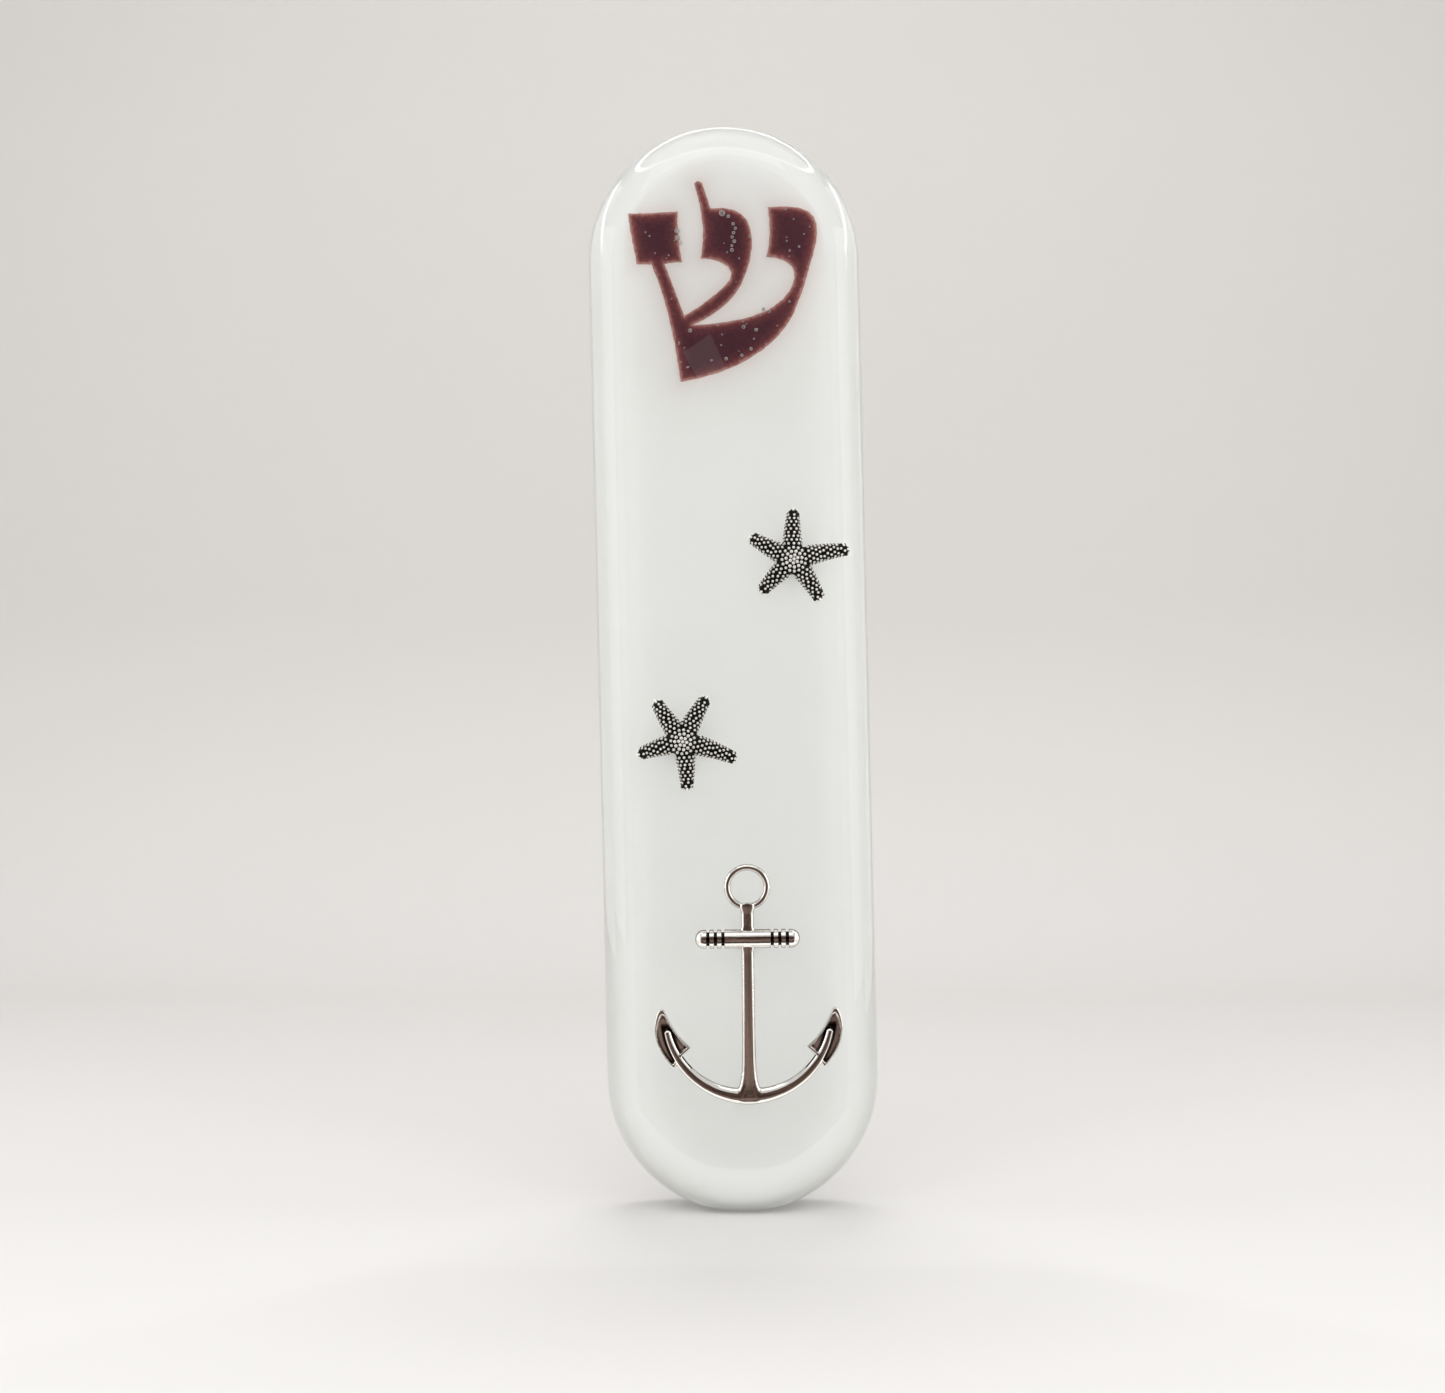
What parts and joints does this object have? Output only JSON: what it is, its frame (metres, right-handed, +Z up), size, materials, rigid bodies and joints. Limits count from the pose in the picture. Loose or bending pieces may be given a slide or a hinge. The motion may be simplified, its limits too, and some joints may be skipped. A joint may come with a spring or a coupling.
{
  "type": "mezuzah case",
  "caption": "Doorpost scroll case with full round ends: white glass cased in clear glass, a copper letter between the layers, cast starfish and anchor charms, and a lift-out back cover.",
  "frame": {"origin": "middle of the case's back, on the doorpost plane that the two mounting tapes stick to", "axes": "+X right and +Z up for someone who faces the case, +Y into the doorpost"},
  "size_m": [0.0348, 0.0199, 0.1396],
  "materials": {
    "white_glass": "gloss",
    "clear_glass": "gloss",
    "copper_inlay": "satin",
    "blackened_silver": "satin",
    "polished_silver": "gloss",
    "clear_glue": "gloss",
    "mounting_foam": "matte",
    "brushed_sheet": "satin",
    "pad_foam": "matte",
    "parchment": "matte",
    "clear_film": "gloss"
  },
  "bodies": {
    "case": {"white_glass_tray": "white_glass", "clear_glass_casing": "clear_glass", "copper_letter": "copper_inlay", "starfish_upper": "blackened_silver", "starfish_upper_glue": "clear_glue", "starfish_lower": "blackened_silver", "starfish_lower_glue": "clear_glue", "anchor": "polished_silver", "anchor_stock_glue": "clear_glue", "anchor_crown_glue": "clear_glue", "mounting_tape_left": "mounting_foam", "mounting_tape_right": "mounting_foam"},
    "back_cover": {"back_cover": "brushed_sheet", "cover_pad_upper": "pad_foam", "cover_pad_lower": "pad_foam"},
    "scroll": {"parchment_scroll": "parchment", "scroll_sleeve": "clear_film"}
  },
  "joints": [
    {"name": "back_cover_lift", "type": "slide", "parent": "case", "child": "back_cover", "axis": [0, 1, 0], "range_m": [0, 0.04]},
    {"name": "scroll_lift", "type": "slide", "parent": "case", "child": "scroll", "axis": [0, 1, 0], "range_m": [0, 0.024]}
  ],
  "couplings": [
    {"joint": "scroll_lift", "follows": "back_cover_lift", "ratio": 0.6}
  ]
}
